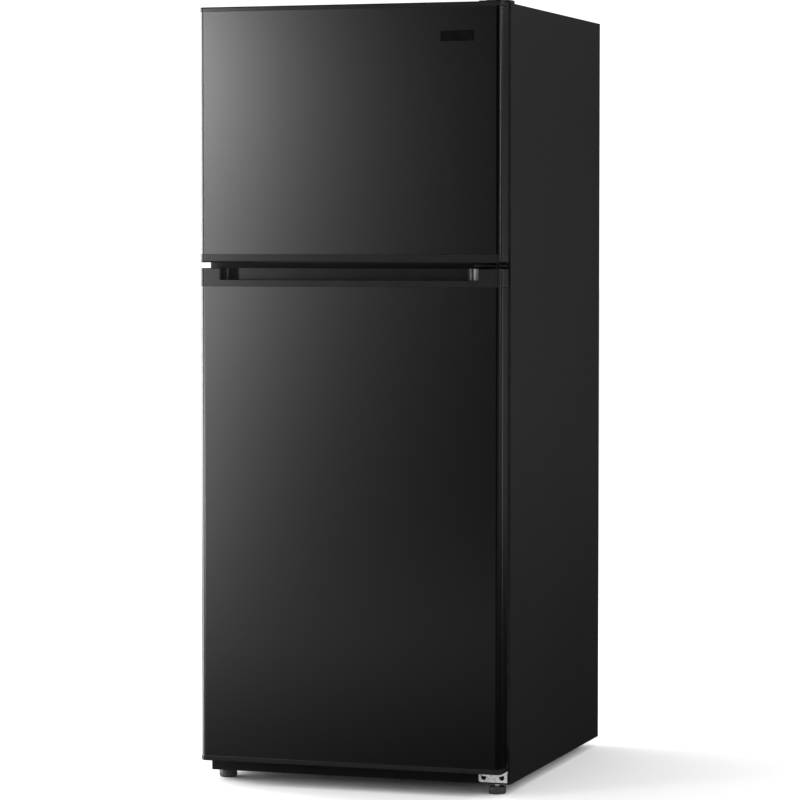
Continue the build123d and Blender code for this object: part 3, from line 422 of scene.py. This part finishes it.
def recess_depth(across, up):
    """How deep the cross recess is at a place on the head."""
    for long, short in ((across, up), (up, across)):
        if abs(short) < SLOT_HALF_WIDTH and abs(long) < SLOT_REACH:
            return SLOT_DEPTH * min(1, (SLOT_END - abs(long)) / SLOT_SLOPE)
    return 0


def add_screw(shape, place, height, length):
    """A screw that points down at the place where its head meets the plate, before it is turned."""
    rows = []
    for ring in range(1, HEAD_RINGS + 1):
        radius = HEAD_RADIUS * ring / HEAD_RINGS
        dome = height * (1 - (radius / HEAD_RADIUS) ** 4) ** 0.5
        row = []
        for step in range(HEAD_SEGMENTS):
            turn = 2 * pi * (step + 0.5) / HEAD_SEGMENTS
            across = radius * cos(turn)
            up = radius * sin(turn)
            depth = min(recess_depth(across, up), dome)
            row.append(shape.verts.new(place @ Vector((across, up, dome - depth))))
        rows.append(row)
    for level in (0, -length):
        row = []
        for step in range(HEAD_SEGMENTS):
            turn = 2 * pi * (step + 0.5) / HEAD_SEGMENTS
            across = SHANK_RADIUS * cos(turn)
            up = SHANK_RADIUS * sin(turn)
            row.append(shape.verts.new(place @ Vector((across, up, level))))
        rows.append(row)
    for inner, outer in zip(rows, rows[1:]):
        for step in range(HEAD_SEGMENTS):
            after = (step + 1) % HEAD_SEGMENTS
            shape.faces.new((inner[step], inner[after], outer[after], outer[step]))
    shape.faces.new(rows[0])
    shape.faces.new(rows[-1])


def add_screws():
    """Two screws through each hinge: into the cabinet's front, and down into its top."""
    shape = bmesh.new()
    forward = Matrix.Rotation(radians(90), 4, "X")
    (left, _, _), (right, back, _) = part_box("middle_hinge")
    for x in (left + 0.008, right - 0.012):
        place = Matrix.Translation((x, back - HINGE_PLATE, MIDDLE_SCREW_LEVEL)) @ forward
        add_screw(shape, place, FRONT_HEAD, HINGE_PLATE)
    (left, _, bottom), (right, back, _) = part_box("bottom_hinge")
    for x, z in ((left + 0.01, bottom + 0.009), (right - 0.011, bottom + 0.0095)):
        place = Matrix.Translation((x, back - HINGE_PLATE, z)) @ forward
        add_screw(shape, place, FRONT_HEAD, HINGE_PLATE)
    (left, _, _), (right, back, top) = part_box("top_hinge")
    for y in (back - 0.008, back - 0.021):
        place = Matrix.Translation(((left + right) / 2, y, top))
        add_screw(shape, place, TOP_HEAD, HINGE_PLATE)
    # The heads take the flat black paint so that they look as dark as the shaded screws on the hinges:
    # painted shade on the screw heads.
    screws = add_piece("hinge_screw_heads", shape, "cabinet", "base_steel")
    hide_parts("hinge_screws")


# ---- feet: a moulded grip on a threaded stud
THREAD_PITCH = 0.0015
THREAD_DEPTH = 0.0006
STUD_RADIUS = 0.005
STUD_START = 0.015
STUD_SEGMENTS = 24
RINGS_PER_PITCH = 6
GRIP_SEGMENTS = 144
GRIP_RIBS = 18
RIB_DEPTH = 0.0014
RIBBED_FROM = 0.012


def plain(radius, height, turn):
    """A smooth round wall."""
    return radius


def ribbed(radius, height, turn):
    """Eighteen upright ribs with narrow grooves, for fingers to turn the foot."""
    if radius <= RIBBED_FROM:
        return radius
    return radius - RIB_DEPTH * max(0, cos(GRIP_RIBS * turn)) ** 4


def threaded(radius, height, turn):
    """A screw thread: the crest climbs one pitch in each turn."""
    phase = (height / THREAD_PITCH - turn / (2 * pi)) % 1
    return radius - THREAD_DEPTH * abs(2 * phase - 1)


def add_foot(node, body, profile, radius_at):
    """The grip and its stud, which together stand for the CAD foot."""
    middle = middle_of(node)
    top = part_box(node)[1][2]
    shape = bmesh.new()
    add_turned(shape, middle, profile, GRIP_SEGMENTS, radius_at)
    grip = add_piece(f"{node}_grip", shape, body, "foot_plastic")
    shape = bmesh.new()
    length = top - STUD_START
    steps = round(length / THREAD_PITCH) * RINGS_PER_PITCH
    rings = [(STUD_RADIUS, STUD_START + length * step / steps) for step in range(steps + 1)]
    add_turned(shape, middle, rings, STUD_SEGMENTS, threaded)
    add_piece(f"{node}_stud", shape, body, "hinge_steel")
    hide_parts(node)


# The outline of each grip, as (radius, height) from the floor up.
RIGHT_GRIP = (
    (0.0145, 0.0), (0.0158, 0.0008), (0.0165, 0.0024), (0.0165, 0.0058), (0.016, 0.0064),
    (0.016, 0.0073), (0.0165, 0.0079), (0.0165, 0.012), (0.0158, 0.0134), (0.0142, 0.014),
    (0.0095, 0.0142), (0.009, 0.0155),
)
LEFT_GRIP = (
    (0.0148, 0.0), (0.0155, 0.0002), (0.0175, 0.002), (0.0175, 0.0135), (0.0169, 0.0149),
    (0.0155, 0.0155), (0.0075, 0.0155),
)


# ---- temperature knob: a fluted disc with a finger bar, drawn with its stem down
KNOB_DISC = (
    (0.003, -0.011), (0.003, 0.0), (0.0122, 0.0), (0.013, 0.0008), (0.013, 0.0052), (0.0122, 0.0066),
    (0.0108, 0.007),
)
KNOB_SEGMENTS = 96
FLUTES = 24
FLUTE_DEPTH = 0.035
FLUTED_FROM = 0.0115
BAR_FOOT = 0.0065
BAR_TOP = 0.014
BAR_SECTION = (
    (-0.0025, BAR_FOOT), (-0.0021, 0.013), (-0.0012, BAR_TOP), (0.0012, BAR_TOP), (0.0021, 0.013),
    (0.0025, BAR_FOOT),
)
BAR_STATIONS = ((-0.0119, 0.6), (-0.0112, 1), (0.0112, 1), (0.0119, 0.6))


def fluted(radius, height, turn):
    """Shallow flutes round the rim, for fingers to turn the knob."""
    if radius <= FLUTED_FROM:
        return radius
    return radius * (1 - FLUTE_DEPTH * max(0, cos(FLUTES * turn)) ** 2)


def add_knob():
    low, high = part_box("thermostat_knob")
    shape = bmesh.new()
    add_turned(shape, (0, 0), KNOB_DISC, KNOB_SEGMENTS, fluted)
    ends = []
    for reach, shrink in BAR_STATIONS:
        end = []
        for x, z in BAR_SECTION:
            end.append(shape.verts.new((x * shrink, reach, BAR_FOOT + (z - BAR_FOOT) * shrink)))
        ends.append(end)
    for here, there in zip(ends, ends[1:]):
        for step in range(len(BAR_SECTION)):
            after = (step + 1) % len(BAR_SECTION)
            shape.faces.new((here[step], here[after], there[after], there[step]))
    shape.faces.new(ends[0])
    shape.faces.new(ends[-1])
    place = Matrix.Translation(((low[0] + high[0]) / 2, low[1] + BAR_TOP, (low[2] + high[2]) / 2))
    face_forward = Matrix.Rotation(radians(90), 4, "X")
    bmesh.ops.transform(shape, matrix=place @ face_forward, verts=shape.verts)
    knob = add_piece("thermostat_knob_fluted", shape, "knob", "white_plastic")
    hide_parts("thermostat_knob")


add_seal("freezer_door_gasket", "freezer_door")
add_seal("fridge_door_gasket", "fridge_door")
add_screws()
add_foot("right_foot", "front_right_foot", RIGHT_GRIP, ribbed)
add_foot("left_foot", "front_left_foot", LEFT_GRIP, plain)
add_knob()


# ---- camera -----------------------------------------------------------------------------------
SENSOR_WIDTH = 36.0
FOCAL_LENGTH = 151.8
CAMERA_PLACE = (2.084, -6.445, 1.064)
LOOK_DOWN = 2.775
LOOK_LEFT = 18.03


def add_camera():
    """The view from the front right, a little above the middle of the object."""
    data = bpy.data.cameras.new("camera")
    data.sensor_width = SENSOR_WIDTH
    data.lens = FOCAL_LENGTH
    camera = bpy.data.objects.new("camera", data)
    camera.location = CAMERA_PLACE
    camera.rotation_euler = (radians(90 - LOOK_DOWN), 0, radians(LOOK_LEFT))
    bpy.context.scene.collection.objects.link(camera)
    bpy.context.scene.camera = camera


# ---- floor, surround and lights ---------------------------------------------------------------
FLOOR_HALF = 60.0
SURROUND_STRENGTH = 1.15


def add_floor():
    """A pale floor that doesn't show in the object's reflections."""
    mesh = bpy.data.meshes.new("floor")
    corners = []
    for x, y in ((-1, -1), (1, -1), (1, 1), (-1, 1)):
        corners.append((x * FLOOR_HALF, y * FLOOR_HALF, 0))
    mesh.from_pydata(corners, [], [(0, 1, 2, 3)])
    floor = bpy.data.objects.new("floor", mesh)
    bpy.context.scene.collection.objects.link(floor)
    material, shader = start_material("floor", grey(0.92), 0.9, specular=0.1)
    tree = material.node_tree
    vary_roughness(tree, shader, add_noise(tree, 2, 2), 0.85, 0.95)
    mesh.materials.append(material)
    floor.visible_glossy = False


def add_surround():
    """A white surround that lights evenly and stays out of the reflections."""
    world = bpy.data.worlds.new("surround")
    world.use_nodes = True
    background = world.node_tree.nodes["Background"]
    background.inputs["Color"].default_value = (1, 1, 1, 1)
    background.inputs["Strength"].default_value = SURROUND_STRENGTH
    world.cycles_visibility.glossy = False
    bpy.context.scene.world = world


def add_softbox(name, place, target, size, power):
    """A soft rectangular light that faces its target."""
    data = bpy.data.lights.new(name, "AREA")
    data.shape = "RECTANGLE"
    data.size, data.size_y = size
    data.energy = power
    light = bpy.data.objects.new(name, data)
    light.location = place
    light.rotation_euler = (Vector(target) - Vector(place)).to_track_quat("-Z", "Y").to_euler()
    bpy.context.scene.collection.objects.link(light)


MIDDLE = (0, 0, 0.9)
# Each has a name, a place, a target, its width and height, and its power in watts.
SOFTBOXES = (
    ("key high", (-1.05, -1.8, 1.5), (-0.2, -0.36, 1.5), (0.3, 0.5), 5.0),
    ("key middle", (-1.05, -1.8, 1.0), (-0.2, -0.36, 1.0), (0.3, 0.5), 2.2),
    ("key low", (-1.3, -1.8, 0.5), (-0.2, -0.36, 0.5), (0.3, 0.5), 4.9),
    ("front fill", (-2.4, -3.2, 0.3), (0, -0.36, 0.4), (1.2, 0.8), 2.2),
    ("right fill", (2.4, -4.0, 0.3), (0, -0.36, 0.4), (1.2, 0.8), 1.4),
    ("left card", (-2.9, -0.75, 0.8), (-0.3, -0.33, 0.8), (0.7, 2.4), 60),
    ("floor card", (-0.6, -1.9, 0.1), (-0.05, -0.36, 0.15), (1.6, 0.14), 0.28),
    ("left rim", (-2.6, 1.9, 1.2), (-0.3, -0.33, 0.9), (0.8, 2.4), 15),
    ("left wall", (-3.5, 0.8, 1.6), (0, 0, 1.2), (1.2, 3.0), 45),
    ("left edge", (-2.0, 0.2, 1.3), (-0.3, -0.3, 1.0), (0.6, 2.0), 27),
    ("right edge", (3.2, -1.4, 1.1), (0.3, -0.3, 1.1), (0.3, 1.6), 3.3),
    ("right edge high", (2.6, -1.2, 1.35), (0.3, -0.3, 1.25), (0.3, 0.5), 1.4),
    ("back right high", (2.6, 3.6, 2.6), (0.3, 0, 1.2), (2.0, 1.5), 5.4),
    ("back right low", (2.6, 3.6, 0.8), (0.3, 0, 0.6), (2.0, 1.5), 2.1),
    ("right high", (4.2, 0.8, 2.8), (0.3, 0, 1.2), (1.5, 1.5), 35.3),
    ("right low", (3.2, 2.4, 0.5), (0.3, 0, 0.5), (1.5, 0.8), 4.3),
)

add_camera()
add_floor()
add_surround()
for softbox in SOFTBOXES:
    add_softbox(*softbox)
bpy.context.scene.view_settings.view_transform = "Standard"
